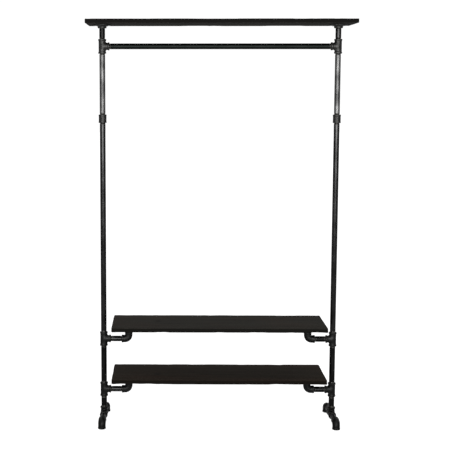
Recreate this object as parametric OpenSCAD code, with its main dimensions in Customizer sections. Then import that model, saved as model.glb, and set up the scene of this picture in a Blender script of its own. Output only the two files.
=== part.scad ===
// Clothes rack of threaded black iron pipe with three wooden boards.
// X runs along the hanging rail, Y from front to back, Z up.
// The origin is on the floor, midway between the four feet.

/* [Rack] */
// Distance between the axes of the two uprights
upright_spacing = 1088; // [800:1:1400]
// Length of the pipe between the lower shelf tee and the upper shelf tee
spacer_pipe_l = 203.2; // [150:0.1:400]
// Length of the long pipe of each upright, from the upper shelf tee to the coupling
main_pipe_l = 1016; // [700:0.1:1300]
// Length of the pipe from the coupling to the rail tee
upper_pipe_l = 304.8; // [150:0.1:500]
// Angle by which the front of each foot is turned outward
foot_splay = 1.5; // [0:0.5:10]

/* [Boards] */
// Length of the top board
top_board_l = 1230; // [900:1:1600]
// Length of each lower shelf board
shelf_board_l = 1004; // [700:1:1300]
// Depth of all three boards, front to back
board_w = 286; // [240:1:400]
// Thickness of all three boards
board_t = 19; // [18:0.5:40]

/* [Pipe] */
// Outer diameter of the pipe
pipe_od = 26.7; // [26:0.1:27.5]
// Wall thickness of the pipe
pipe_wall = 2.9; // [2:0.1:4]
// Length of the short nipples of the upright bases, shelf arms and top
nipple_l = 76.2; // [50:0.1:110]
// Length of the nipples between a foot tee and its elbows
foot_nipple_l = 88.9; // [50:0.1:150]
// Length of the risers that lift the shelf flanges off their elbows
riser_l = 40; // [35:0.5:60]

/* [Fittings] */
// Distance from the centre of a tee or elbow to the face of its mouth
fitting_reach = 33.3; // [30:0.1:40]
// Outer diameter of the reinforcing band round each mouth
band_od = 37; // [34:0.1:42]
// Width of the band
band_w = 7.5; // [5:0.1:10]
// Outer diameter of a tee between its bands
body_od = 33.6; // [32:0.1:35]
// Outer diameter of an elbow's bend
elbow_od = 36; // [33:0.1:37]
// Outer diameter of a coupling between its bands
coupling_od = 36; // [33:0.1:37]
// Depth to which a pipe is screwed into a fitting
thread_depth = 12; // [9:0.1:14]
// Length of a coupling
coupling_l = 38.6; // [34:0.1:50]
// Radius of an elbow's bend, measured on its centre line
bend_r = 19; // [18:0.1:22]

/* [Flanges] */
// Diameter of a floor flange's base plate
flange_od = 84; // [76:0.5:95]
// Thickness of the base plate
flange_t = 4.5; // [3.5:0.1:6]
// Height of the flange, from the board to the end of its hub
flange_h = 17; // [15:0.5:22]
// Diameter of the hub where it meets the base plate
hub_base_od = 45; // [42:0.5:48]
// Diameter of the hub at its open end
hub_end_od = 38; // [35:0.5:41]
// Diameter of the circle that the screw holes lie on
screw_circle_d = 64; // [60:0.5:68]
// Diameter of the screw holes in a flange
screw_hole_d = 6; // [5.5:0.1:7]

/* [Screws] */
// Shank diameter of the wood screws
screw_d = 4.8; // [4:0.1:5]
// Length of the shank, from under the head to the point
screw_l = 19; // [14:0.5:20]
// Diameter of the round head
screw_head_d = 9.4; // [8:0.1:11]
// Height of the round head
screw_head_h = 3; // [2.5:0.1:3.5]

/* [Hidden] */
$fn = 64;
left = -1;
right = 1;
front = -1;
rear = 1;
pipe_id = pipe_od - 2 * pipe_wall;
thread_play = 0.1;
socket_d = pipe_od + thread_play;
// Waterway inside the run of a fitting; the pipe ends bear on its shoulder
way_d = 23;
// The branch of a tee is a little thinner than the run that it leaves
branch_less = 0.8;
bend_way_d = 22;
// Width of the slope from a band down to the body
band_slope = 1.6;
edge_cut = 0.7;
// Width and height of the small fillet where a flange's hub leaves its plate
flange_fillet = 1.5;
// Overrun of cuts and joins past the faces that they cross
eps = 1;
// Distance from a fitting's centre to the end of a pipe screwed into it
seat = fitting_reach - thread_depth;
// Gap that is left between a pipe's end and the board above a flange
flange_gap = 2;
// Height of a board above the tee that carries it
shelf_flange_rise = seat + riser_l + flange_gap;
top_flange_rise = seat + nipple_l + flange_gap;
// Distance between the centres of two fittings joined by a nipple
nipple_step = 2 * seat + nipple_l;
foot_step = 2 * seat + foot_nipple_l;
coupling_seat = coupling_l / 2 - thread_depth;
foot_z = fitting_reach;
lower_tee_z = foot_z + nipple_step;
upper_tee_z = lower_tee_z + 2 * seat + spacer_pipe_l;
coupling_z = upper_tee_z + seat + main_pipe_l + coupling_seat;
rail_z = coupling_z + coupling_seat + upper_pipe_l + seat;
top_board_z = rail_z + top_flange_rise;
rail_l = upright_spacing - 2 * seat;
// Distance from the middle of the rack to the riser of a shelf arm
arm_x = upright_spacing / 2 - nipple_step;
// Length of screw inside the board
screw_embed = screw_l - flange_t;
screw_point_l = 4;
// Cross recess of a screw head
recess_l = 5;
recess_w = 1.2;
recess_deep = 1.6;
iron = [0.13, 0.13, 0.13];
cast_iron = [0.2, 0.2, 0.2];
stained_wood = [0.17, 0.16, 0.14];
steel = [0.3, 0.3, 0.3];

// ---- places ----

// A frame on one upright's axis at height z, with +X pointing to the middle of the rack
module on_upright(side, z) {
    translate([side * upright_spacing / 2, 0, z])
        mirror([side == right ? 1 : 0, 0, 0])
            children();
}

// A frame at the centre of one foot tee, turned with the foot
module on_foot(side) {
    on_upright(side, foot_z)
        rotate([0, 0, -foot_splay])
            children();
}

// A frame on the axis of one shelf arm's riser, at height z
module on_arm(side, z) {
    on_upright(side, z)
        translate([nipple_step, 0, 0])
            children();
}

// The four screw places of a flange
module each_screw() {
    for (turn = [45 : 90 : 315])
        rotate([0, 0, turn])
            translate([screw_circle_d / 2, 0, 0])
                children();
}

// The screw places under one board, for flanges at plus and minus x
module each_board_screw(x, z) {
    for (side = [left, right])
        translate([side * x, 0, z])
            each_screw()
                children();
}

// ---- stock shapes ----

// A length of pipe that rises from the origin
module pipe(length) {
    difference() {
        cylinder(d = pipe_od, h = length);
        translate([0, 0, -eps])
            cylinder(d = pipe_id, h = length + 2 * eps);
    }
}

// Outside of one mouth of a fitting: body, slope and band, along +Z from z = start
module mouth(start, length, body_d) {
    slope_z = length - band_w - band_slope;
    rotate_extrude()
        polygon([
            [0, start],
            [body_d / 2, start],
            [body_d / 2, slope_z],
            [band_od / 2, slope_z + band_slope],
            [band_od / 2, length - edge_cut],
            [band_od / 2 - edge_cut, length],
            [0, length]
        ]);
}

// Threaded socket of one mouth, with the waterway behind it, along +Z
module socket(start, length, way) {
    translate([0, 0, start])
        cylinder(d = way, h = length - start);
    translate([0, 0, length - thread_depth])
        cylinder(d = socket_d, h = thread_depth + eps);
}

// Tee with its run along Z and its branch along +X
module tee() {
    difference() {
        union() {
            mouth(-eps, fitting_reach, body_od);
            mirror([0, 0, 1])
                mouth(-eps, fitting_reach, body_od);
            rotate([0, 90, 0])
                mouth(0, fitting_reach, body_od - branch_less);
        }
        socket(-eps, fitting_reach, way_d);
        mirror([0, 0, 1])
            socket(-eps, fitting_reach, way_d);
        rotate([0, 90, 0])
            socket(0, fitting_reach, way_d - branch_less);
    }
}

// Quarter of a ring in the XZ plane, from the +X leg to the +Z leg of an elbow
module bend(d) {
    translate([bend_r, 0, bend_r])
        rotate([0, 180, 0])
            rotate([90, 0, 0])
                rotate_extrude(angle = 90)
                    translate([bend_r, 0])
                        circle(d = d);
}

// Elbow with mouths along +X and +Z
module elbow() {
    leg_start = bend_r - eps;
    difference() {
        union() {
            bend(elbow_od);
            mouth(leg_start, fitting_reach, elbow_od - branch_less);
            rotate([0, 90, 0])
                mouth(leg_start, fitting_reach, elbow_od - branch_less);
        }
        bend(bend_way_d);
        socket(leg_start, fitting_reach, way_d);
        rotate([0, 90, 0])
            socket(leg_start, fitting_reach, way_d);
    }
}

// Coupling on the Z axis, centred on the origin
module coupling() {
    difference() {
        union() {
            mouth(-eps, coupling_l / 2, coupling_od);
            mirror([0, 0, 1])
                mouth(-eps, coupling_l / 2, coupling_od);
        }
        socket(-eps, coupling_l / 2, way_d);
        mirror([0, 0, 1])
            socket(-eps, coupling_l / 2, way_d);
    }
}

// Floor flange whose base plate bears on the plane z = 0, with its hub pointing down
module flange() {
    difference() {
        rotate_extrude()
            polygon([
                [0, 0],
                [flange_od / 2, 0],
                [flange_od / 2, edge_cut - flange_t],
                [flange_od / 2 - edge_cut, -flange_t],
                [hub_base_od / 2 + flange_fillet, -flange_t],
                [hub_base_od / 2, -flange_t - flange_fillet],
                [hub_end_od / 2, edge_cut - flange_h],
                [hub_end_od / 2 - edge_cut, -flange_h],
                [0, -flange_h]
            ]);
        translate([0, 0, -flange_h - eps])
            cylinder(d = socket_d, h = flange_h - flange_gap + eps);
        translate([0, 0, -flange_gap - eps])
            cylinder(d = way_d, h = flange_gap + 2 * eps);
        each_screw()
            translate([0, 0, -flange_t - eps])
                cylinder(d = screw_hole_d, h = flange_t + 2 * eps);
    }
}

// Round-head wood screw that holds a flange up against the plane z = 0
module screw() {
    head = [for (a = [90 : -15 : 0]) [screw_head_d / 2 * cos(a), -flange_t - screw_head_h * sin(a)]];
    shank_r = screw_d / 2;
    difference() {
        rotate_extrude()
            polygon(concat(head, [
                [shank_r, -flange_t],
                [shank_r, screw_embed - screw_point_l],
                [0, screw_embed]
            ]));
        for (turn = [0, 90])
            rotate([0, 0, turn])
                translate([-recess_l / 2, -recess_w / 2, -flange_t - screw_head_h - eps])
                    cube([recess_l, recess_w, recess_deep + eps]);
    }
}

// Board whose underside is at height z, drilled for the screws of flanges at plus and minus x
module board(length, z, x) {
    difference() {
        translate([-length / 2, -board_w / 2, z])
            cube([length, board_w, board_t]);
        each_board_screw(x, z)
            translate([0, 0, -eps])
                cylinder(d = screw_d + thread_play, h = screw_embed + 2 * eps);
    }
}

// ---- boards ----

module top_board() {
    color(stained_wood)
        board(top_board_l, top_board_z, upright_spacing / 2);
}

module shelf_board(tee_z) {
    color(stained_wood)
        board(shelf_board_l, tee_z + shelf_flange_rise, arm_x);
}

// ---- uprights ----

module upright_pipe(side, lower_z, length) {
    color(iron)
        on_upright(side, lower_z)
            pipe(length);
}

module upright_tee(side, z) {
    color(cast_iron)
        on_upright(side, z)
            tee();
}

module upright_coupling(side) {
    color(cast_iron)
        on_upright(side, coupling_z)
            coupling();
}

module top_flange(side) {
    color(cast_iron)
        on_upright(side, top_board_z)
            flange();
}

module hanging_rail() {
    color(iron)
        translate([-rail_l / 2, 0, rail_z])
            rotate([0, 90, 0])
                pipe(rail_l);
}

// ---- feet ----

module foot_tee(side) {
    color(cast_iron)
        on_foot(side)
            rotate([0, 0, 90])
                rotate([0, -90, 0])
                    tee();
}

module foot_nipple(side, end) {
    color(iron)
        on_foot(side)
            rotate([-90 * end, 0, 0])
                translate([0, 0, seat])
                    pipe(foot_nipple_l);
}

module foot_elbow(side, end) {
    color(cast_iron)
        on_foot(side)
            translate([0, end * foot_step, 0])
                rotate([0, 0, -90 * end])
                    rotate([180, 0, 0])
                        elbow();
}

// ---- shelf arms ----

module arm_nipple(side, tee_z) {
    color(iron)
        on_upright(side, tee_z)
            rotate([0, 90, 0])
                translate([0, 0, seat])
                    pipe(nipple_l);
}

module arm_elbow(side, tee_z) {
    color(cast_iron)
        on_arm(side, tee_z)
            rotate([0, 0, 180])
                elbow();
}

module riser(side, tee_z) {
    color(iron)
        on_arm(side, tee_z + seat)
            pipe(riser_l);
}

module shelf_flange(side, tee_z) {
    color(cast_iron)
        on_arm(side, tee_z + shelf_flange_rise)
            flange();
}

// ---- screws ----

module board_screws(x, z) {
    color(steel)
        each_board_screw(x, z)
            screw();
}

top_board();
shelf_board(upper_tee_z);  // upper_shelf_board
shelf_board(lower_tee_z);  // lower_shelf_board
hanging_rail();

foot_tee(left);  // left_foot_tee
foot_nipple(left, front);  // left_front_foot_nipple
foot_nipple(left, rear);  // left_rear_foot_nipple
foot_elbow(left, front);  // left_front_foot_elbow
foot_elbow(left, rear);  // left_rear_foot_elbow
upright_pipe(left, foot_z + seat, nipple_l);  // left_base_nipple
upright_tee(left, lower_tee_z);  // left_lower_shelf_tee
upright_pipe(left, lower_tee_z + seat, spacer_pipe_l);  // left_spacer_pipe
upright_tee(left, upper_tee_z);  // left_upper_shelf_tee
upright_pipe(left, upper_tee_z + seat, main_pipe_l);  // left_main_pipe
upright_coupling(left);  // left_coupling
upright_pipe(left, coupling_z + coupling_seat, upper_pipe_l);  // left_upper_pipe
upright_tee(left, rail_z);  // left_rail_tee
upright_pipe(left, rail_z + seat, nipple_l);  // left_top_nipple
top_flange(left);  // left_top_flange
arm_nipple(left, lower_tee_z);  // left_lower_arm_nipple
arm_elbow(left, lower_tee_z);  // left_lower_arm_elbow
riser(left, lower_tee_z);  // left_lower_riser
shelf_flange(left, lower_tee_z);  // left_lower_shelf_flange
arm_nipple(left, upper_tee_z);  // left_upper_arm_nipple
arm_elbow(left, upper_tee_z);  // left_upper_arm_elbow
riser(left, upper_tee_z);  // left_upper_riser
shelf_flange(left, upper_tee_z);  // left_upper_shelf_flange

foot_tee(right);  // right_foot_tee
foot_nipple(right, front);  // right_front_foot_nipple
foot_nipple(right, rear);  // right_rear_foot_nipple
foot_elbow(right, front);  // right_front_foot_elbow
foot_elbow(right, rear);  // right_rear_foot_elbow
upright_pipe(right, foot_z + seat, nipple_l);  // right_base_nipple
upright_tee(right, lower_tee_z);  // right_lower_shelf_tee
upright_pipe(right, lower_tee_z + seat, spacer_pipe_l);  // right_spacer_pipe
upright_tee(right, upper_tee_z);  // right_upper_shelf_tee
upright_pipe(right, upper_tee_z + seat, main_pipe_l);  // right_main_pipe
upright_coupling(right);  // right_coupling
upright_pipe(right, coupling_z + coupling_seat, upper_pipe_l);  // right_upper_pipe
upright_tee(right, rail_z);  // right_rail_tee
upright_pipe(right, rail_z + seat, nipple_l);  // right_top_nipple
top_flange(right);  // right_top_flange
arm_nipple(right, lower_tee_z);  // right_lower_arm_nipple
arm_elbow(right, lower_tee_z);  // right_lower_arm_elbow
riser(right, lower_tee_z);  // right_lower_riser
shelf_flange(right, lower_tee_z);  // right_lower_shelf_flange
arm_nipple(right, upper_tee_z);  // right_upper_arm_nipple
arm_elbow(right, upper_tee_z);  // right_upper_arm_elbow
riser(right, upper_tee_z);  // right_upper_riser
shelf_flange(right, upper_tee_z);  // right_upper_shelf_flange

board_screws(upright_spacing / 2, top_board_z);  // top_board_screws
board_screws(arm_x, upper_tee_z + shelf_flange_rise);  // upper_shelf_screws
board_screws(arm_x, lower_tee_z + shelf_flange_rise);  // lower_shelf_screws
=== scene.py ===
"""Looks of the pipe clothes rack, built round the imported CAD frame. Lengths are in metres."""
import math

import bpy
import numpy as np
from mathutils import Matrix, Vector


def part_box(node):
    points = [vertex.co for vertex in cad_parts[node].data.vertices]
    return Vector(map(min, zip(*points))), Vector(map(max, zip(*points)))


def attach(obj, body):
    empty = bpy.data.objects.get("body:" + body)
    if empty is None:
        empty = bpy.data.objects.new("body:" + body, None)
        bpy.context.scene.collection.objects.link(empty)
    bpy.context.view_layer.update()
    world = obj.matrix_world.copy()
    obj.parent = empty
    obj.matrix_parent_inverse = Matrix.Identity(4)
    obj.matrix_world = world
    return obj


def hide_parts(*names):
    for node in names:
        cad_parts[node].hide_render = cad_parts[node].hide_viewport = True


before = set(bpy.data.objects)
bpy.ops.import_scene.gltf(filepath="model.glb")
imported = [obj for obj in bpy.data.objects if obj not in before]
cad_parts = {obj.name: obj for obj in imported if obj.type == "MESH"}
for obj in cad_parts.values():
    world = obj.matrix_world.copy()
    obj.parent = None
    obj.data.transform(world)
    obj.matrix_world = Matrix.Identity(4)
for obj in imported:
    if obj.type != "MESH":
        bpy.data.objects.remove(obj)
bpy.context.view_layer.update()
MM = 0.001
# The rack's two ends, each with the turn that points its arms inward
SIDES = {"left": 0.0, "right": math.pi}


# ---- sizes and places, read from the frame ----

def size(node):
    """Length, depth and height of a CAD node."""
    low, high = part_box(node)
    return Vector(high) - Vector(low)


def centre(node):
    """Middle of a CAD node's box."""
    low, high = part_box(node)
    return (Vector(low) + Vector(high)) / 2


pipe_r = size("left_main_pipe").x / 2
reach = size("left_lower_shelf_tee").z / 2
band_r = size("left_lower_shelf_tee").y / 2
coupling_l = size("left_coupling").z
flange_h = size("left_top_flange").z
# How far a pipe is screwed into a fitting
thread_depth = reach - (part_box("left_spacer_pipe")[0][2] - centre("left_lower_shelf_tee").z)
# Each foot is turned a little, its front outward
foot_line = centre("right_front_foot_nipple") - centre("right_rear_foot_nipple")
foot_splay = math.atan2(foot_line.x, -foot_line.y)
foot_pipe_extent = size("left_front_foot_nipple").y - 2 * pipe_r * math.sin(foot_splay)
foot_pipe_l = foot_pipe_extent / math.cos(foot_splay)
foot_reach = foot_pipe_l + 2 * (reach - thread_depth)

# Cast fittings, in millimetres: the raised band at each mouth, and the bodies between the bands
BAND_W = 7.5
BODY_R = 16.8
BRANCH_R = 16.4
ELBOW_R = 17.6
COUPLING_R = 18.0
# An elbow's bend along its centre line, and how much its body swells in the bend
BEND_R = 19.0
SWELL = 0.4
SWELL_L = 14.0
# The waterway, and the socket with its countersunk lip
WAY_R = 11.5
SOCKET_PLAY = 0.05
LIP_PLAY = 0.2
LIP_DEPTH = 1.3
LIP_END = 2.5
# Floor flange
FLANGE_R = 42.0
FLANGE_T = 4.5
HUB_BASE_R = 22.5
HUB_END_R = 19.0
HUB_SUNK = 1.0
BEAD_OUT = 0.8
BEAD_W = 3.5
SCREW_CIRCLE_R = 32.0
SCREW_HOLE_R = 3.0
# Rounding of the cast bodies' ends, of the bands and of the holes' edges
BODY_EASE = 1.0
BAND_EASE = 1.1
HOLE_EASE = 0.3
# Softness of the joins: run to branch, band to tee, band to a thick body, hub to plate, bead to hub
BRANCH_BLEND = 7.0
BAND_BLEND = 2.2
THICK_BAND_BLEND = 0.8
HUB_BLEND = 4.0
BEAD_BLEND = 2.0
# How far the shapes that cut the holes run out past the fitting
HOLE_RUN = 5
SOCKET_RUN = 8
# Unevenness of the cast skin: its height, the length of its waves and its place in the noise
CAST_WAVE = 0.12
CAST_WAVE_L = 9
CAST_SEED = 5
# Mesh size of the castings
CAST_STEP = 1.2

# Pipes, in millimetres
PIPE_WALL = 2.9
THREAD_PITCH = 25.4 / 14
# Depth of the thread, and the share of it that is taken off its crests
THREAD_DEPTH = 1.15
THREAD_CREST = 0.12
# Turns of thread that stand out of the fitting's mouth, and how many of them fade out
THREAD_TURNS = 4.2
THREAD_FADE_TURNS = 2.4
# Share of the screwed-in thread that is too deep inside to be seen
THREAD_HIDDEN = 0.6
END_CHAMFER_L = 0.4
END_CHAMFER = 0.5
# Mesh size: points round a pipe, rows in a turn of thread, and length of a row where there is no thread
PIPE_POINTS = 48
ROWS_PER_TURN = 6
PLAIN_ROW = 120

# Edges sharper than this are shown sharp
SHARP = math.radians(55)


# ---- smooth noise ----

# Large odd numbers that scatter neighbouring cells
LATTICE_PRIMES = np.array([374761393, 668265263, 2147483647])
LATTICE_MIX = 1274126177


def lattice(cells, seed):
    """A fixed random number from -1 to 1 for each whole-number cell."""
    n = cells @ LATTICE_PRIMES + seed * LATTICE_MIX
    n = (n ^ (n >> 13)) * LATTICE_MIX
    n = n ^ (n >> 16)
    return (n & 0xFFFFFF) / float(0x7FFFFF) - 1.0


def value_noise(points, scale, seed):
    """Smooth noise from -1 to 1 at points divided by scale, a length for each axis."""
    p = points / np.asarray(scale, float)
    cell = np.floor(p).astype(np.int64)
    f = p - cell
    f = f * f * (3 - 2 * f)
    total = np.zeros(len(p))
    for dx in (0, 1):
        for dy in (0, 1):
            for dz in (0, 1):
                w = np.abs(1 - dx - f[:, 0]) * np.abs(1 - dy - f[:, 1]) * np.abs(1 - dz - f[:, 2])
                total += w * lattice(cell + np.array([dx, dy, dz]), seed)
    return total


def layered_noise(points, scale, seed, layers=3):
    """Noise with finer layers of half the size and half the height added."""
    scale = np.asarray(scale, float)
    return sum(value_noise(points, scale / 2 ** i, seed + i) / 2 ** i for i in range(layers))


# ---- solid shapes as distance functions, in millimetres ----

def smooth_union(a, b, k):
    """The nearer of two distances, blended over k where they meet."""
    h = np.clip(0.5 + 0.5 * (b - a) / k, 0, 1)
    return b * (1 - h) + a * h - k * h * (1 - h)


def cut(a, b, k=0.5):
    """a with b taken away, the edge eased by k."""
    return -smooth_union(-a, b, k)


def drum(rho, z, radius, low, high, ease):
    """A solid cylinder from low to high with eased edges."""
    q = rho - (radius - ease)
    s = np.abs(z - (low + high) / 2) - ((high - low) / 2 - ease)
    return np.hypot(np.maximum(q, 0), np.maximum(s, 0)) + np.minimum(np.maximum(q, s), 0) - ease


def around(p, axis):
    """Distance from an axis through the origin, and place along it."""
    others = [i for i in range(3) if i != axis]
    return np.hypot(p[:, others[0]], p[:, others[1]]), p[:, axis]


def socket(rho, z, mouth):
    """Threaded socket with a countersunk lip that ends at z = mouth, and its shoulder."""
    bore_r = pipe_r / MM
    bore = drum(rho, z, bore_r + SOCKET_PLAY, mouth - thread_depth / MM, mouth + SOCKET_RUN, HOLE_EASE)
    lip = np.maximum(rho - (bore_r + LIP_PLAY) - np.maximum(z - (mouth - LIP_DEPTH), 0),
                     mouth - LIP_END - z)
    return np.minimum(bore, lip)


def band(rho, z, mouth):
    """Raised band that ends at z = mouth."""
    return drum(rho, z, band_r / MM, mouth - BAND_W, mouth, BAND_EASE)


def tee_shape(p):
    """Tee with its run along Z and its branch along +X."""
    rho_z, z = around(p, 2)
    rho_x, x = around(p, 0)
    r = reach / MM
    run = drum(rho_z, z, BODY_R, -r, r, BODY_EASE)
    branch = drum(rho_x, x, BRANCH_R, 0, r, BODY_EASE)
    body = smooth_union(run, branch, BRANCH_BLEND)
    for rho, along in ((rho_z, z), (rho_z, -z), (rho_x, x)):
        body = smooth_union(body, band(rho, along, r), BAND_BLEND)
    holes = np.minimum(drum(rho_z, z, WAY_R, -r - HOLE_RUN, r + HOLE_RUN, HOLE_EASE),
                       drum(rho_x, x, WAY_R, 0, r + HOLE_RUN, HOLE_EASE))
    for rho, along in ((rho_z, z), (rho_z, -z), (rho_x, x)):
        holes = np.minimum(holes, socket(rho, along, r))
    return cut(body, holes)


def elbow_line(p):
    """Distance from the centre line of an elbow whose legs run along +X and +Z."""
    x, y, z = p.T
    bend = np.hypot(np.hypot(x - BEND_R, z - BEND_R) - BEND_R, y)
    return np.where(x > BEND_R, np.hypot(y, z), np.where(z > BEND_R, np.hypot(x, y), bend))


def elbow_shape(p):
    """Elbow with its mouths at +X and +Z."""
    r = reach / MM
    line = elbow_line(p)
    rho_z, z = around(p, 2)
    rho_x, x = around(p, 0)
    ends = np.maximum(x, z) - r
    swell = SWELL * np.exp(-((x - z) / SWELL_L) ** 2)
    body = np.maximum(line - ELBOW_R - swell, ends)
    holes = np.maximum(line - WAY_R, ends - HOLE_RUN)
    for rho, along in ((rho_z, z), (rho_x, x)):
        body = smooth_union(body, band(rho, along, r), THICK_BAND_BLEND)
        holes = np.minimum(holes, socket(rho, along, r))
    return cut(body, holes)


def coupling_shape(p):
    """Coupling along Z."""
    half = coupling_l / MM / 2
    rho, z = around(p, 2)
    body = drum(rho, z, COUPLING_R, -half, half, BODY_EASE)
    holes = drum(rho, z, WAY_R, -half - HOLE_RUN, half + HOLE_RUN, HOLE_EASE)
    for along in (z, -z):
        body = smooth_union(body, band(rho, along, half), THICK_BAND_BLEND)
        holes = np.minimum(holes, socket(rho, along, half))
    return cut(body, holes)


def flange_shape(p):
    """Floor flange under the plane z = 0, hub pointing down."""
    h = flange_h / MM
    rho, z = around(p, 2)
    bore_r = pipe_r / MM
    plate = drum(rho, z, FLANGE_R, -FLANGE_T, 0, BODY_EASE)
    hub_r = HUB_END_R + (HUB_BASE_R - HUB_END_R) * (z + h) / (h - FLANGE_T)
    hub = np.maximum(rho - hub_r, np.maximum(z + HUB_SUNK, -h - z))
    body = smooth_union(plate, hub, HUB_BLEND)
    bead = drum(rho, z, HUB_END_R + BEAD_OUT, -h, BEAD_W - h, BAND_EASE)
    body = smooth_union(body, bead, BEAD_BLEND)
    holes = drum(rho, z, bore_r + SOCKET_PLAY, -h - HOLE_RUN, HOLE_RUN, HOLE_EASE)
    lip = np.maximum(rho - (bore_r + LIP_PLAY) - np.maximum(LIP_DEPTH - h - z, 0), z - LIP_END + h)
    holes = np.minimum(holes, lip)
    for turn in range(4):
        a = math.radians(45 + 90 * turn)
        off = np.hypot(p[:, 0] - SCREW_CIRCLE_R * math.cos(a), p[:, 1] - SCREW_CIRCLE_R * math.sin(a))
        screw_hole = drum(off, z, SCREW_HOLE_R, -FLANGE_T - HOLE_RUN, HOLE_RUN, HOLE_EASE)
        holes = np.minimum(holes, screw_hole)
    return cut(body, holes)


def slope(shape, p, h=0.05):
    """Gradient of a distance function."""
    steps = np.eye(3) * h
    return np.stack([(shape(p + s) - shape(p - s)) / (2 * h) for s in steps], axis=1)


def skin(shape, low, high, step=CAST_STEP):
    """Points and quads of the surface of a distance function inside a box."""
    lines = [np.arange(a - 2 * step, b + 2.5 * step, step) for a, b in zip(low, high)]
    grid = np.stack(np.meshgrid(*lines, indexing="ij"), axis=-1)
    d = shape(grid.reshape(-1, 3)).reshape(grid.shape[:3])
    cells = np.array(d.shape) - 1
    total = np.zeros((*cells, 3))
    count = np.zeros(cells)
    crossings = []
    for axis in range(3):
        d0 = np.take(d, range(cells[axis]), axis)
        d1 = np.take(d, range(1, cells[axis] + 1), axis)
        crossed = (d0 < 0) != (d1 < 0)
        t = np.where(crossed, d0 / np.where(crossed, d0 - d1, 1), 0)
        place = np.take(grid, range(cells[axis]), axis).copy()
        place[..., axis] += t * step
        crossings.append((crossed, d0 < 0))
        b, c = [i for i in range(3) if i != axis]
        for ob in (0, 1):
            for oc in (0, 1):
                part = [slice(None)] * 3
                part[b] = slice(1 - ob, cells[b] + 1 - ob)
                part[c] = slice(1 - oc, cells[c] + 1 - oc)
                hit = crossed[tuple(part)]
                total += np.where(hit[..., None], place[tuple(part)], 0)
                count += hit
    number = np.full(cells, -1)
    live = count > 0
    number[live] = np.arange(live.sum())
    points = total[live] / count[live][:, None]
    quads = []
    for axis, (crossed, inside) in enumerate(crossings):
        b, c = (axis + 1) % 3, (axis + 2) % 3
        at = np.argwhere(crossed)
        at = at[(at[:, b] > 0) & (at[:, c] > 0) & (at[:, b] < cells[b]) & (at[:, c] < cells[c])]
        ring = []
        for ob, oc in ((1, 1), (0, 1), (0, 0), (1, 0)):
            cell = at.copy()
            cell[:, b] -= ob
            cell[:, c] -= oc
            ring.append(number[tuple(cell.T)])
        ring = np.stack(ring, axis=1)
        outward = inside[tuple(at.T)]
        quads.append(np.where(outward[:, None], ring, ring[:, ::-1]))
    for _ in range(4):
        g = slope(shape, points)
        move = shape(points)[:, None] * g / np.maximum((g * g).sum(axis=1), 0.1)[:, None]
        points -= np.clip(move, -step / 2, step / 2)
    return points, np.concatenate(quads)


# ---- meshes ----

def mesh_from(name, points, faces, attributes=None):
    """A smooth-shaded mesh from points in metres, with float attributes on its points."""
    mesh = bpy.data.meshes.new(name)
    mesh.from_pydata([tuple(p) for p in points], [], [tuple(int(i) for i in f) for f in faces])
    for key, values in (attributes or {}).items():
        layer = mesh.attributes.new(key, "FLOAT", "POINT")
        layer.data.foreach_set("value", np.asarray(values, np.float32))
    mesh.polygons.foreach_set("use_smooth", np.ones(len(mesh.polygons), bool))
    mesh.set_sharp_from_angle(angle=SHARP)
    mesh.update()
    return mesh


def cast_mesh(name, shape, low, high):
    """Mesh of a cast fitting, with a faint unevenness of its skin."""
    points, quads = skin(shape, low, high)
    g = slope(shape, points)
    g /= np.maximum(np.linalg.norm(g, axis=1), 1e-6)[:, None]
    points = points + g * (CAST_WAVE * layered_noise(points, (CAST_WAVE_L,) * 3, CAST_SEED))[:, None]
    points = np.clip(points, low, high)
    return mesh_from(name, points * MM, quads)


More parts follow.
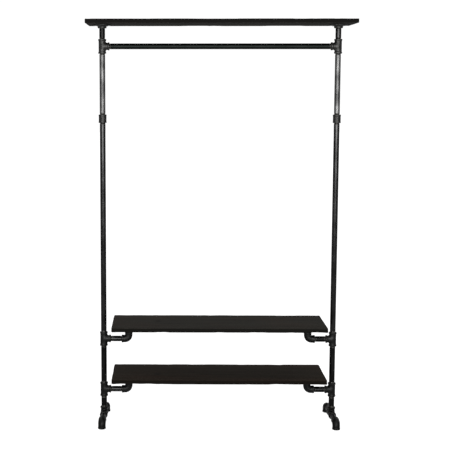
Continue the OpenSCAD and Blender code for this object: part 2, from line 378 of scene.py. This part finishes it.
def tube_mesh(name, length, seed, segments=PIPE_POINTS):
    """Pipe along Z, centred on the origin, with tapered threads showing at its ends.

    The seed goes with its points, and picks its mottling.
    """
    half = length / 2
    pitch = THREAD_PITCH * MM
    thread_end = thread_depth + THREAD_TURNS * pitch
    thread_start = thread_depth * THREAD_HIDDEN
    fine = pitch / ROWS_PER_TURN
    chamfer_row = half - END_CHAMFER_L * MM
    rows = {-half, half, -chamfer_row, chamfer_row}
    for sign in (-1, 1):
        count = int((thread_end - thread_start) / fine) + 2
        rows |= {sign * (half - thread_start - i * fine) for i in range(count)}
    plain_end = half - thread_end - 2 * fine
    if plain_end > 0:
        rows |= set(np.linspace(-plain_end, plain_end, max(2, int(length / (PLAIN_ROW * MM)))))
    rows = np.array(sorted(round(r, 6) for r in rows if abs(r) <= half + 1e-9))
    turn = np.linspace(0, 2 * math.pi, segments, endpoint=False)
    zz, aa = np.meshgrid(rows, turn, indexing="ij")
    from_end = half - np.abs(zz)
    inside_thread = np.clip((thread_end - from_end) / (THREAD_FADE_TURNS * pitch), 0, 1)
    phase = (zz / pitch - aa / (2 * math.pi)) % 1.0
    groove = np.abs(phase * 2 - 1)
    depth = THREAD_DEPTH * MM * inside_thread
    chamfer = np.clip((END_CHAMFER_L * MM - from_end) / (END_CHAMFER_L * MM), 0, 1)
    cut_in = depth * (THREAD_CREST + (1 - THREAD_CREST) * groove)
    radius = pipe_r - cut_in - END_CHAMFER * MM * chamfer
    outer = np.stack([radius * np.cos(aa), radius * np.sin(aa), zz], axis=-1).reshape(-1, 3)
    bare = inside_thread.reshape(-1)
    inner_r = pipe_r - PIPE_WALL * MM
    inner_rows = np.array([-half, half])
    zi, ai = np.meshgrid(inner_rows, turn, indexing="ij")
    inner = np.stack([inner_r * np.cos(ai), inner_r * np.sin(ai), zi], axis=-1).reshape(-1, 3)
    points = np.concatenate([outer, inner])
    faces = []
    n = len(rows)

    def ring_quads(a, b):
        return [(a + i, a + (i + 1) % segments, b + (i + 1) % segments, b + i) for i in range(segments)]

    for row in range(n - 1):
        faces += ring_quads(row * segments, (row + 1) * segments)
    low_in, high_in = n * segments, (n + 1) * segments
    faces += ring_quads(high_in, low_in)
    faces += ring_quads(low_in, 0)
    faces += ring_quads((n - 1) * segments, high_in)
    bare = np.concatenate([bare, np.zeros(len(inner))])
    return mesh_from(name, points, faces, {"bare": bare, "seed": np.full(len(points), seed)})


# Boards, in millimetres: rounding of the arrises, and mesh size along, across and through
ARRIS = 1.6
BOARD_STEPS = (6, 6, 4)
# Each fault of a sawn board: how long its waves are, how deep it goes, and how far in from the edge
WANDER = (210, 0.9, 30)
NICK = (90, 2.6, 16)
DENT = (60, 1.4, 10)
END_WANDER = (80, 0.6, 20)
KNOCK_R = 7
KNOCK = 2.0
# Grain relief: length and width of the streaks, half its depth, and how far it's sunk to stay in the CAD box
GRAIN_L = 220
GRAIN_W = 11
GRAIN = 0.18
GRAIN_SUNK = 1.25


def spaced(low, high, ease, step):
    """Grid lines from low to high, close together in the eased edges."""
    edge = [0, 0.25 * ease, 0.5 * ease, 0.75 * ease]
    middle = np.linspace(low + ease, high - ease, max(2, int((high - low) / step)))
    return np.array([low + e for e in edge] + list(middle) + [high - e for e in reversed(edge)])


def board_mesh(name, node, seed, knots):
    """Sawn board: eased, slightly uneven edges, faint grain relief, in place in the row frame."""
    low, high = (np.array(corner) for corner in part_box(node))
    ease = ARRIS * MM
    lines = [spaced(low[i], high[i], ease, BOARD_STEPS[i] * MM) for i in range(3)]
    points, faces, start = [], [], 0
    for axis in range(3):
        b, c = [i for i in range(3) if i != axis]
        gb, gc = np.meshgrid(lines[b], lines[c], indexing="ij")
        for end, value in enumerate((low[axis], high[axis])):
            face_points = np.zeros((*gb.shape, 3))
            face_points[..., axis] = value
            face_points[..., b] = gb
            face_points[..., c] = gc
            points.append(face_points.reshape(-1, 3))
            index = start + np.arange(gb.size).reshape(gb.shape)
            quad = np.stack([index[:-1, :-1], index[1:, :-1], index[1:, 1:], index[:-1, 1:]], axis=-1)
            quad = quad.reshape(-1, 4)
            flip = (end == 0) != (axis == 1)
            faces.append(quad[:, ::-1] if flip else quad)
            start += gb.size
    points = np.concatenate(points)
    faces = np.concatenate(faces)
    _, first, where = np.unique(np.round(points / (0.01 * MM)).astype(np.int64), axis=0,
                                return_index=True, return_inverse=True)
    points = points[first]
    faces = where.reshape(-1)[faces]
    # Ease the arrises
    core = np.clip(points, low + ease, high - ease)
    away = points - core
    length = np.linalg.norm(away, axis=1)
    normal = away / np.maximum(length, 1e-9)[:, None]
    points = core + normal * ease
    # Sawn edges wander a little, and the front and back arrises are worn unevenly
    from_edge = np.minimum(points[:, 1] - low[1], high[1] - points[:, 1])
    side = np.sign(points[:, 1] - (low[1] + high[1]) / 2)
    along = np.stack([points[:, 0], side * 3.0, np.zeros(len(points))], axis=1)

    def wave_along(wave, seed_step):
        return layered_noise(along, (wave * MM, 1, 1), seed + seed_step, 4)

    def fade(distance, width):
        """1 at the edge, 0 from width on."""
        return np.clip(1 - distance / (width * MM), 0, 1)

    wave, deep, wide = WANDER
    points[:, 1] -= side * (deep * MM * (1 + wave_along(wave, 0))) * fade(from_edge, wide)
    half_t = (high[2] - low[2]) / 2
    wave, deep, wide = NICK
    nick = np.clip(wave_along(wave, 20) - 0.05, 0, 1)
    lower = np.clip((low[2] + half_t - points[:, 2]) / half_t, 0, 1)
    points[:, 2] += deep * MM * nick * lower * fade(from_edge, wide)
    wave, deep, wide = DENT
    dent = np.clip(wave_along(wave, 40) - 0.2, 0, 1)
    upper = np.clip((points[:, 2] - high[2] + half_t) / half_t, 0, 1)
    points[:, 2] -= deep * MM * dent * upper * fade(from_edge, wide)
    wave, deep, wide = END_WANDER
    x_side = np.sign(points[:, 0])
    from_end = np.minimum(points[:, 0] - low[0], high[0] - points[:, 0])
    across = np.stack([x_side * 3.0, points[:, 1], np.zeros(len(points))], axis=1)
    end_wave = layered_noise(across, (1, wave * MM, 1), seed + 60)
    points[:, 0] -= x_side * (deep * MM * (1 + end_wave)) * fade(from_end, wide)
    # Corners are knocked off a little
    corner = fade(np.hypot(from_edge, from_end), KNOCK_R)
    points[:, 0] -= x_side * KNOCK * MM * corner
    points[:, 1] -= side * KNOCK * MM * corner
    # Grain relief
    relief = layered_noise(points, (GRAIN_L * MM, GRAIN_W * MM, GRAIN_W * MM), seed + 80)
    points += normal * (GRAIN * MM * (relief - GRAIN_SUNK))[:, None]
    worn = np.clip(length / ease - 1.02, 0, 0.4) / 0.4
    knot = np.zeros(len(points))
    for x, y, long, wide in knots:
        x_off = (points[:, 0] - x) / long
        y_off = (points[:, 1] - y) / wide
        knot = np.maximum(knot, np.exp(-x_off ** 2 - y_off ** 2))
    # edge is 1 on upright faces and 0 on the top and underside; the wood darkens by it as painted shade
    attributes = {"arris": worn, "edge": 1 - np.abs(normal[:, 2]), "knot": knot}
    return mesh_from(name, points, faces, attributes)


# ---- materials ----

def grey(value):
    return (value, value, value)


def new_material(name):
    """A material with its nodes, links and main shader."""
    material = bpy.data.materials.new(name)
    material.use_nodes = True
    nodes = material.node_tree.nodes
    links = material.node_tree.links
    shader = nodes["Principled BSDF"]
    return material, nodes, links, shader


def noise_node(nodes, links, coords, scale, detail, stretch=(1, 1, 1), rough=0.55, distortion=0.0,
               seed=None):
    """Noise over coords times stretch. A seed moves it through a fourth direction."""
    mapping = nodes.new("ShaderNodeMapping")
    mapping.inputs["Scale"].default_value = stretch
    links.new(coords, mapping.inputs["Vector"])
    noise = nodes.new("ShaderNodeTexNoise")
    if seed is not None:
        noise.noise_dimensions = "4D"
        links.new(seed, noise.inputs["W"])
    noise.inputs["Scale"].default_value = scale
    noise.inputs["Detail"].default_value = detail
    noise.inputs["Roughness"].default_value = rough
    noise.inputs["Distortion"].default_value = distortion
    links.new(mapping.outputs["Vector"], noise.inputs["Vector"])
    return noise.outputs["Fac"]


def ramp_node(nodes, links, value, stops):
    """Colour for a value, from stops of place and colour."""
    ramp = nodes.new("ShaderNodeValToRGB")
    while len(ramp.color_ramp.elements) < len(stops):
        ramp.color_ramp.elements.new(0.5)
    for element, (place, colour) in zip(ramp.color_ramp.elements, stops):
        element.position = place
        element.color = (*colour, 1)
    links.new(value, ramp.inputs["Fac"])
    return ramp.outputs["Color"]


def mix_colour(nodes, links, factor, a, b):
    """a where factor is 0, b where it is 1. Each of them is a colour or a node's output."""
    mix = nodes.new("ShaderNodeMix")
    mix.data_type = "RGBA"
    links.new(factor, mix.inputs["Factor"])
    for socket_name, value in (("A", a), ("B", b)):
        target = [s for s in mix.inputs if s.name == socket_name and s.type == "RGBA"][0]
        if isinstance(value, tuple):
            target.default_value = (*value, 1)
        else:
            links.new(value, target)
    return [s for s in mix.outputs if s.type == "RGBA"][0]


def spread(nodes, links, value, low, high):
    """value from 0 to 1 spread over low to high."""
    node = nodes.new("ShaderNodeMapRange")
    node.inputs["To Min"].default_value = low
    node.inputs["To Max"].default_value = high
    links.new(value, node.inputs["Value"])
    return node.outputs["Result"]


def limits(nodes, links, value, low, high):
    """0 below low, 1 above high, smooth between."""
    node = nodes.new("ShaderNodeMapRange")
    node.interpolation_type = "SMOOTHSTEP"
    node.inputs["From Min"].default_value = low
    node.inputs["From Max"].default_value = high
    links.new(value, node.inputs["Value"])
    return node.outputs["Result"]


def add_bump(nodes, links, shader, height, distance, strength, under=None):
    """Fine relief on top of the relief under it."""
    bump = nodes.new("ShaderNodeBump")
    bump.inputs["Distance"].default_value = distance
    bump.inputs["Strength"].default_value = strength
    links.new(height, bump.inputs["Height"])
    if under is not None:
        links.new(under, bump.inputs["Normal"])
    links.new(bump.outputs["Normal"], shader.inputs["Normal"])
    return bump.outputs["Normal"]


def object_coords(nodes):
    """Places in the piece's own axes."""
    return nodes.new("ShaderNodeTexCoord").outputs["Object"]


def attribute(nodes, name):
    """A number that the mesh carries on its points."""
    node = nodes.new("ShaderNodeAttribute")
    node.attribute_name = name
    return node.outputs["Fac"]


def stained_wood(name, shift, tone):
    """Pine stained near-black espresso: streaked grain, a few knots, painted shade on the upright faces, and
    rubbed arrises.
    """
    material, nodes, links, shader = new_material(name)
    move = nodes.new("ShaderNodeMapping")
    move.inputs["Location"].default_value = shift
    links.new(object_coords(nodes), move.inputs["Vector"])
    coords = move.outputs["Vector"]
    # Patches, streaks of grain and pores, all drawn out along the board
    broad = noise_node(nodes, links, coords, 1.0, 3, (1.7, 5.0, 5.0))
    streak = noise_node(nodes, links, coords, 1.0, 6, (3.5, 130.0, 130.0), 0.6, 0.4)
    fine = noise_node(nodes, links, coords, 1.0, 4, (14.0, 620.0, 620.0), 0.65)

    def tinted(factor):
        return tuple(factor * c for c in tone)

    base = ramp_node(nodes, links, streak, [(0.30, tinted(0.62)), (0.50, tinted(1.0)), (0.72, tinted(1.5))])
    warm = (1.5 * tone[0], 1.05 * tone[1], 0.95 * tone[2])
    warmth = spread(nodes, links, limits(nodes, links, broad, 0.42, 0.66), 0.0, 0.5)
    colour = mix_colour(nodes, links, warmth, base, warm)
    pores = limits(nodes, links, fine, 0.36, 0.56)
    colour = mix_colour(nodes, links, spread(nodes, links, pores, 0.35, 0.0), colour, tinted(0.3))
    colour = mix_colour(nodes, links, attribute(nodes, "knot"), colour, tinted(0.35))
    # Painted shade: the upright faces, front, back and ends, are darkened against the top and underside
    edge = spread(nodes, links, attribute(nodes, "edge"), 0.0, 0.88)
    colour = mix_colour(nodes, links, edge, colour, tinted(0.25))
    wear = limits(nodes, links, noise_node(nodes, links, coords, 38.0, 4), 0.5, 0.66)
    rubbed = nodes.new("ShaderNodeMath")
    rubbed.operation = "MULTIPLY"
    links.new(attribute(nodes, "arris"), rubbed.inputs[0])
    links.new(wear, rubbed.inputs[1])
    colour = mix_colour(nodes, links, rubbed.outputs[0], colour, tinted(2.4))
    links.new(colour, shader.inputs["Base Color"])
    links.new(spread(nodes, links, streak, 0.82, 0.62), shader.inputs["Roughness"])
    shader.inputs["Specular IOR Level"].default_value = 0.06
    coarse = add_bump(nodes, links, shader, streak, 0.0011, 0.55)
    add_bump(nodes, links, shader, fine, 0.0006, 0.5, coarse)
    return material


def black_pipe(name, dull, glint, rough):
    """Lacquered steel pipe: mottled black skin, rubbed along its length, bright where the thread is cut."""
    material, nodes, links, shader = new_material(name)
    coords = object_coords(nodes)
    seed = attribute(nodes, "seed")
    blotch = noise_node(nodes, links, coords, 15.0, 3, (1, 1, 0.8), 0.55, 0.3, seed)
    mottle = noise_node(nodes, links, coords, 80.0, 4, (1, 1, 0.25), 0.6, 0.0, seed)
    specks = noise_node(nodes, links, coords, 420.0, 3)
    # Duller and more rubbed patches, then finer grain over them
    middle = tuple((a + b) / 2 for a, b in zip(dull, glint))
    colour = ramp_node(nodes, links, blotch, [(0.38, dull), (0.50, middle), (0.62, glint)])
    grain = limits(nodes, links, mottle, 0.38, 0.60)
    colour = mix_colour(nodes, links, spread(nodes, links, grain, 0.45, 0.0), colour, dull)
    bare = attribute(nodes, "bare")
    cut_metal = ramp_node(nodes, links, specks, [(0.3, (0.06, 0.058, 0.055)), (0.7, (0.17, 0.165, 0.155))])
    colour = mix_colour(nodes, links, bare, colour, cut_metal)
    links.new(colour, shader.inputs["Base Color"])
    shader.inputs["Metallic"].default_value = 0.95
    links.new(spread(nodes, links, mottle, rough - 0.06, rough + 0.08), shader.inputs["Roughness"])
    coarse = add_bump(nodes, links, shader, mottle, 0.0005, 0.25)
    add_bump(nodes, links, shader, specks, 0.0001, 0.3, coarse)
    return material


# Darkest and lightest grey of the castings' coat, and its middle roughness
CAST_GREYS = ((0.022, 0.022, 0.021), (0.042, 0.042, 0.041))
CAST_ROUGH = 0.40


def cast_iron_painted_shading(name, tone):
    """Malleable iron with a fine sand-cast skin and a thin black coat; its tone makes it darker or lighter,
    as painted shade low down and painted light high up.
    """
    material, nodes, links, shader = new_material(name)
    coords = object_coords(nodes)
    patches = noise_node(nodes, links, coords, 60.0, 5, rough=0.6)
    sand = noise_node(nodes, links, coords, 900.0, 3)
    pits = noise_node(nodes, links, coords, 320.0, 2)
    dark, light = (tuple(tone * c for c in shade) for shade in CAST_GREYS)
    colour = ramp_node(nodes, links, patches, [(0.32, dark), (0.68, light)])
    links.new(colour, shader.inputs["Base Color"])
    shader.inputs["Metallic"].default_value = 0.85
    rough = spread(nodes, links, patches, CAST_ROUGH - 0.07, CAST_ROUGH + 0.1)
    links.new(rough, shader.inputs["Roughness"])
    coarse = add_bump(nodes, links, shader, pits, 0.0007, 0.6)
    add_bump(nodes, links, shader, sand, 0.00035, 0.6, coarse)
    return material


def screw_steel(name):
    """Blackened steel with brighter rubbed patches."""
    material, nodes, links, shader = new_material(name)
    coords = object_coords(nodes)
    patches = noise_node(nodes, links, coords, 500.0, 4)
    colour = ramp_node(nodes, links, patches, [(0.4, (0.03, 0.03, 0.032)), (0.7, (0.14, 0.135, 0.13))])
    links.new(colour, shader.inputs["Base Color"])
    shader.inputs["Metallic"].default_value = 0.9
    links.new(spread(nodes, links, patches, 0.35, 0.55), shader.inputs["Roughness"])
    return material


def plain_floor(name):
    """Even pale floor that glows by itself."""
    material, nodes, links, shader = new_material(name)
    coords = object_coords(nodes)
    tone = noise_node(nodes, links, coords, 0.8, 2)
    colour = ramp_node(nodes, links, tone, [(0.3, grey(0.30)), (0.7, grey(0.32))])
    links.new(colour, shader.inputs["Base Color"])
    shader.inputs["Roughness"].default_value = 0.9
    shader.inputs["Specular IOR Level"].default_value = 0.0
    shader.inputs["Emission Color"].default_value = (1, 1, 1, 1)
    shader.inputs["Emission Strength"].default_value = FLOOR_GLOW
    return material


# ---- pieces ----

def add_piece(name, mesh, material, nodes, matrix=Matrix.Identity(4)):
    """Puts a piece in place of the CAD nodes that it stands for."""
    piece = bpy.data.objects.new(name, mesh)
    bpy.context.scene.collection.objects.link(piece)
    mesh.materials.append(material)
    piece.matrix_world = matrix
    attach(piece, "root")
    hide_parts(*nodes)


def turned(place, *turns):
    """A matrix that applies (axis, angle) turns in order and then moves to place."""
    matrix = Matrix.Identity(4)
    for axis, angle in turns:
        matrix = Matrix.Rotation(angle, 4, axis) @ matrix
    return Matrix.Translation(place) @ matrix


PIPES = ["hanging_rail"] + [
    f"{side}_{part}" for side in SIDES for part in (
        "front_foot_nipple", "rear_foot_nipple", "base_nipple", "spacer_pipe", "main_pipe", "upper_pipe",
        "top_nipple", "lower_arm_nipple", "lower_riser", "upper_arm_nipple", "upper_riser")]
# How far apart the pipes' mottling is taken from the noise, and how far each is turned from the last
SEED_STEP = 3.7
TURN_STEP = 0.7


def foot_turn(side):
    """Turn of a foot about Z that carries its front outward."""
    return foot_splay if side == "right" else -foot_splay


def pipe_light_and_shade_finishes():
    """Finish of each pipe by its node, or by its node's name without the side; the rest take the dark copy
    kept under pipe. Apart from the rail's coat, these are lighter and darker copies of one black pipe that
    paint light and shade by place: the upper pipes lightest, then the pipes with a painted highlight, and
    painted shade on the rest.
    """
    # The lighter copy below paints a highlight on the main pipes, the right top nipple and the left arm
    # nipples
    highlit_finish = black_pipe("pipe_painted_highlight", grey(0.024), grey(0.052), 0.20)
    return {
        # Dark copy for every pipe not named here: painted shade on the feet, the low pipes, the risers, the
        # right arms and the left top nipple
        "pipe": black_pipe("black_pipe", grey(0.009), grey(0.020), 0.30),
        "main_pipe": highlit_finish,
        "right_top_nipple": highlit_finish,
        "left_upper_arm_nipple": highlit_finish,
        "left_lower_arm_nipple": highlit_finish,
        # Lightest copy, with a rougher skin: painted light on the upper pipes
        "upper_pipe": black_pipe("upper_pipe_painted_light", grey(0.075), (0.225, 0.225, 0.222), 0.43),
        "rail": black_pipe("painted_rail", (0.010, 0.0125, 0.0115), (0.015, 0.0175, 0.0165), 0.40),
    }


def build_pipes():
    """Every pipe and nipple, laid along its CAD node."""
    light_and_shade_finishes = pipe_light_and_shade_finishes()
    for number, node in enumerate(PIPES):
        extent = size(node)
        axis = max(range(3), key=lambda i: extent[i])
        is_foot = "foot_nipple" in node
        length = foot_pipe_l if is_foot else extent[axis]
        material = light_and_shade_finishes.get(node, light_and_shade_finishes.get(node.split("_", 1)[1], light_and_shade_finishes["pipe"]))
        turn = {0: ("Y", math.pi / 2), 1: ("X", -math.pi / 2), 2: ("Z", 0.0)}[axis]
        splay = foot_turn(node.split("_")[0]) if is_foot else 0.0
        matrix = turned(centre(node), ("Z", TURN_STEP * number), turn, ("Z", splay))
        mesh = tube_mesh(f"tube_{node}", length, SEED_STEP * number)
        add_piece(f"{node}_threaded", mesh, material, [node], matrix)


# Painted light and shade of the castings: how light each place's copy is against the castings' greys,
# darkest at the feet and the rear, lightest at the couplings, the rail and the top
CAST_PAINTED_SHADING = {"foot": 0.28, "front": 0.30, "rear": 0.24, "lower": 0.48, "upper": 0.66,
              "coupling": 1.20, "rail": 1.50, "top": 1.50}


def build_fittings():
    """Tees, elbows, couplings and flanges, each a copy of one casting, turned into its place."""
    r = reach / MM
    b = band_r / MM
    half = coupling_l / MM / 2
    # One copy of the casting for each place, lighter or darker by its tone: painted light and shade by
    # height
    materials = {place: cast_iron_painted_shading(f"cast_iron_{place}", tone) for place, tone in CAST_PAINTED_SHADING.items()}
    tee = cast_mesh("cast_tee", tee_shape, (-b, -b, -r), (r, b, r))
    elbow = cast_mesh("cast_elbow", elbow_shape, (-b, -b, -b), (r, b, r))
    coupling = cast_mesh("cast_coupling", coupling_shape, (-b, -b, -half), (b, b, half))
    flange = cast_mesh("cast_flange", flange_shape, (-FLANGE_R, -FLANGE_R, -flange_h / MM),
                       (FLANGE_R, FLANGE_R, 0))

    def add(node, mesh, place, *turns):
        own = mesh.copy()
        own.name = f"{mesh.name}_{node}"
        material = materials[node.split("_")[1]]
        add_piece(f"{node}_cast", own, material, [node], turned(place, *turns))

    def add_flange(node):
        add(node, flange, Vector((centre(node).x, centre(node).y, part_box(node)[1][2])))

    for side, inward in SIDES.items():
        for part in ("lower_shelf_tee", "upper_shelf_tee", "rail_tee"):
            node = f"{side}_{part}"
            place = Vector((centre(f"{side}_main_pipe").x, 0, centre(node).z))
            add(node, tee, place, ("Z", inward))
        add(f"{side}_coupling", coupling, centre(f"{side}_coupling"))
        foot = Vector((centre(f"{side}_base_nipple").x, 0, centre(f"{side}_front_foot_nipple").z))
        splay = foot_turn(side)
        add(f"{side}_foot_tee", tee, foot, ("Y", -math.pi / 2), ("Z", math.pi / 2), ("Z", splay))
        for end, sign in (("front", -1), ("rear", 1)):
            step = Matrix.Rotation(splay, 4, "Z") @ Vector((0, sign * foot_reach, 0))
            add(f"{side}_{end}_foot_elbow", elbow, foot + step, ("X", math.pi),
                ("Z", -sign * math.pi / 2), ("Z", splay))
        for level in ("lower", "upper"):
            node = f"{side}_{level}_arm_elbow"
            place = Vector((centre(f"{side}_{level}_riser").x, 0, centre(f"{side}_{level}_arm_nipple").z))
            add(node, elbow, place, ("Z", math.pi + inward))
            add_flange(f"{side}_{level}_shelf_flange")
        add_flange(f"{side}_top_flange")


# Each board's stain colour, and its knots as x, y, half length and half width in metres
BOARDS = {
    "top_board": (
        (0.0165, 0.0152, 0.0130),
        [(-0.41, -0.06, 0.012, 0.010), (0.23, 0.05, 0.014, 0.011)]),
    "upper_shelf_board": (
        (0.0175, 0.0160, 0.0130),
        [(-0.285, 0.012, 0.016, 0.013), (0.31, 0.07, 0.011, 0.009)]),
    "lower_shelf_board": (
        (0.0174, 0.0130, 0.0090),
        [(-0.290, -0.035, 0.016, 0.013), (0.12, 0.06, 0.012, 0.009)]),
}
# How far apart the boards' grain and edges are taken from the noise
GRAIN_SHIFT = (0.37, 1.9, 0.83)
FIRST_BOARD_SEED = 7
BOARD_SEED_STEP = 100


def build_boards():
    """The three boards, each with its own stain, grain and wear."""
    for number, (node, (tone, knots)) in enumerate(BOARDS.items()):
        shift = tuple(step * number for step in GRAIN_SHIFT)
        material = stained_wood(f"stained_{node}", shift, tone)
        mesh = board_mesh(f"sawn_{node}", node, FIRST_BOARD_SEED + BOARD_SEED_STEP * number, knots)
        add_piece(f"{node}_sawn", mesh, material, [node])


def finish_screws():
    """Gives the CAD screws their material."""
    material = screw_steel("screw_steel")
    for node in ("top_board_screws", "upper_shelf_screws", "lower_shelf_screws"):
        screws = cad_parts[node]
        screws.data.materials.clear()
        screws.data.materials.append(material)


# ---- camera, floor and light ----

# The camera stands a little left of the rack, at eye height, and looks slightly down
EYE = Vector((-0.240, -4.849, 1.6025))
EYE_YAW = math.radians(-0.64)
EYE_PITCH = math.radians(6.36)
SENSOR = 36
LENS = 82.80
SHIFT = (0.1542, -0.0575)
FLOOR_HALF = 30.0
# Light that the floor gives by itself, so that it stays a plain near-white
FLOOR_GLOW = 0.93
# Brightness of the backdrop as the camera sees it
BACKDROP = 1.05
# Brightness of the studio by height, from straight down (0) over the horizon (0.5) to straight up (1)
STUDIO = [(0.0, 0.62), (0.30, 0.42), (0.42, 0.30), (0.50, 0.28), (0.60, 0.24), (0.78, 0.65), (1.0, 1.15)]
# One wide softbox behind the camera, facing the rack, lights the upper part of the uprights most
WINDOW_PLACE = Vector((-0.25, -5.2, 1.75))
WINDOW_SIZE = (6.0, 1.9)
WINDOW_GLOW = 7.0


def build_camera():
    data = bpy.data.cameras.new("camera")
    data.sensor_width = SENSOR
    data.lens = LENS
    data.shift_x, data.shift_y = SHIFT
    camera = bpy.data.objects.new("camera", data)
    camera.location = EYE
    camera.rotation_euler = (math.pi / 2 - EYE_PITCH, 0, -EYE_YAW)
    bpy.context.scene.collection.objects.link(camera)
    bpy.context.scene.camera = camera


def build_floor():
    half = FLOOR_HALF
    corners = [(-half, -half, 0), (half, -half, 0), (half, half, 0), (-half, half, 0)]
    mesh = bpy.data.meshes.new("floor")
    mesh.from_pydata(corners, [], [(0, 1, 2, 3)])
    mesh.materials.append(plain_floor("pale_floor"))
    floor = bpy.data.objects.new("floor", mesh)
    bpy.context.scene.collection.objects.link(floor)
    # The world's own lower half stands for the light that the floor sends back up
    floor.visible_diffuse = False
    floor.visible_glossy = False


def build_window():
    """The softbox: a flat lamp whose face has an even brightness."""
    width, height = WINDOW_SIZE
    data = bpy.data.lights.new("window", "AREA")
    data.shape = "RECTANGLE"
    data.size = width
    data.size_y = height
    data.energy = WINDOW_GLOW * math.pi * width * height
    light = bpy.data.objects.new("window", data)
    light.location = WINDOW_PLACE
    light.rotation_euler = Vector((0, -WINDOW_PLACE.y, 0)).to_track_quat("-Z", "Y").to_euler()
    light.visible_camera = False
    bpy.context.scene.collection.objects.link(light)


def build_studio():
    """World that is white to the camera and lights the rack by the height of each direction."""
    world = bpy.data.worlds.new("studio")
    bpy.context.scene.world = world
    world.use_nodes = True
    nodes = world.node_tree.nodes
    links = world.node_tree.links
    output = nodes["World Output"]
    seen = nodes["Background"]
    seen.inputs["Color"].default_value = (1, 1, 1, 1)
    seen.inputs["Strength"].default_value = BACKDROP
    split = nodes.new("ShaderNodeSeparateXYZ")
    links.new(nodes.new("ShaderNodeTexCoord").outputs["Generated"], split.inputs["Vector"])
    height = nodes.new("ShaderNodeMapRange")
    height.inputs["From Min"].default_value = -1
    links.new(split.outputs["Z"], height.inputs["Value"])
    stops = [(at, grey(value)) for at, value in STUDIO]
    fill = nodes.new("ShaderNodeBackground")
    links.new(ramp_node(nodes, links, height.outputs["Result"], stops), fill.inputs["Color"])
    path = nodes.new("ShaderNodeLightPath")
    mix = nodes.new("ShaderNodeMixShader")
    links.new(path.outputs["Is Camera Ray"], mix.inputs["Fac"])
    links.new(fill.outputs[0], mix.inputs[1])
    links.new(seen.outputs[0], mix.inputs[2])
    links.new(mix.outputs[0], output.inputs["Surface"])
    bpy.context.scene.view_settings.view_transform = "Standard"


build_camera()
build_floor()
build_studio()
build_window()
build_pipes()
build_fittings()
build_boards()
finish_screws()
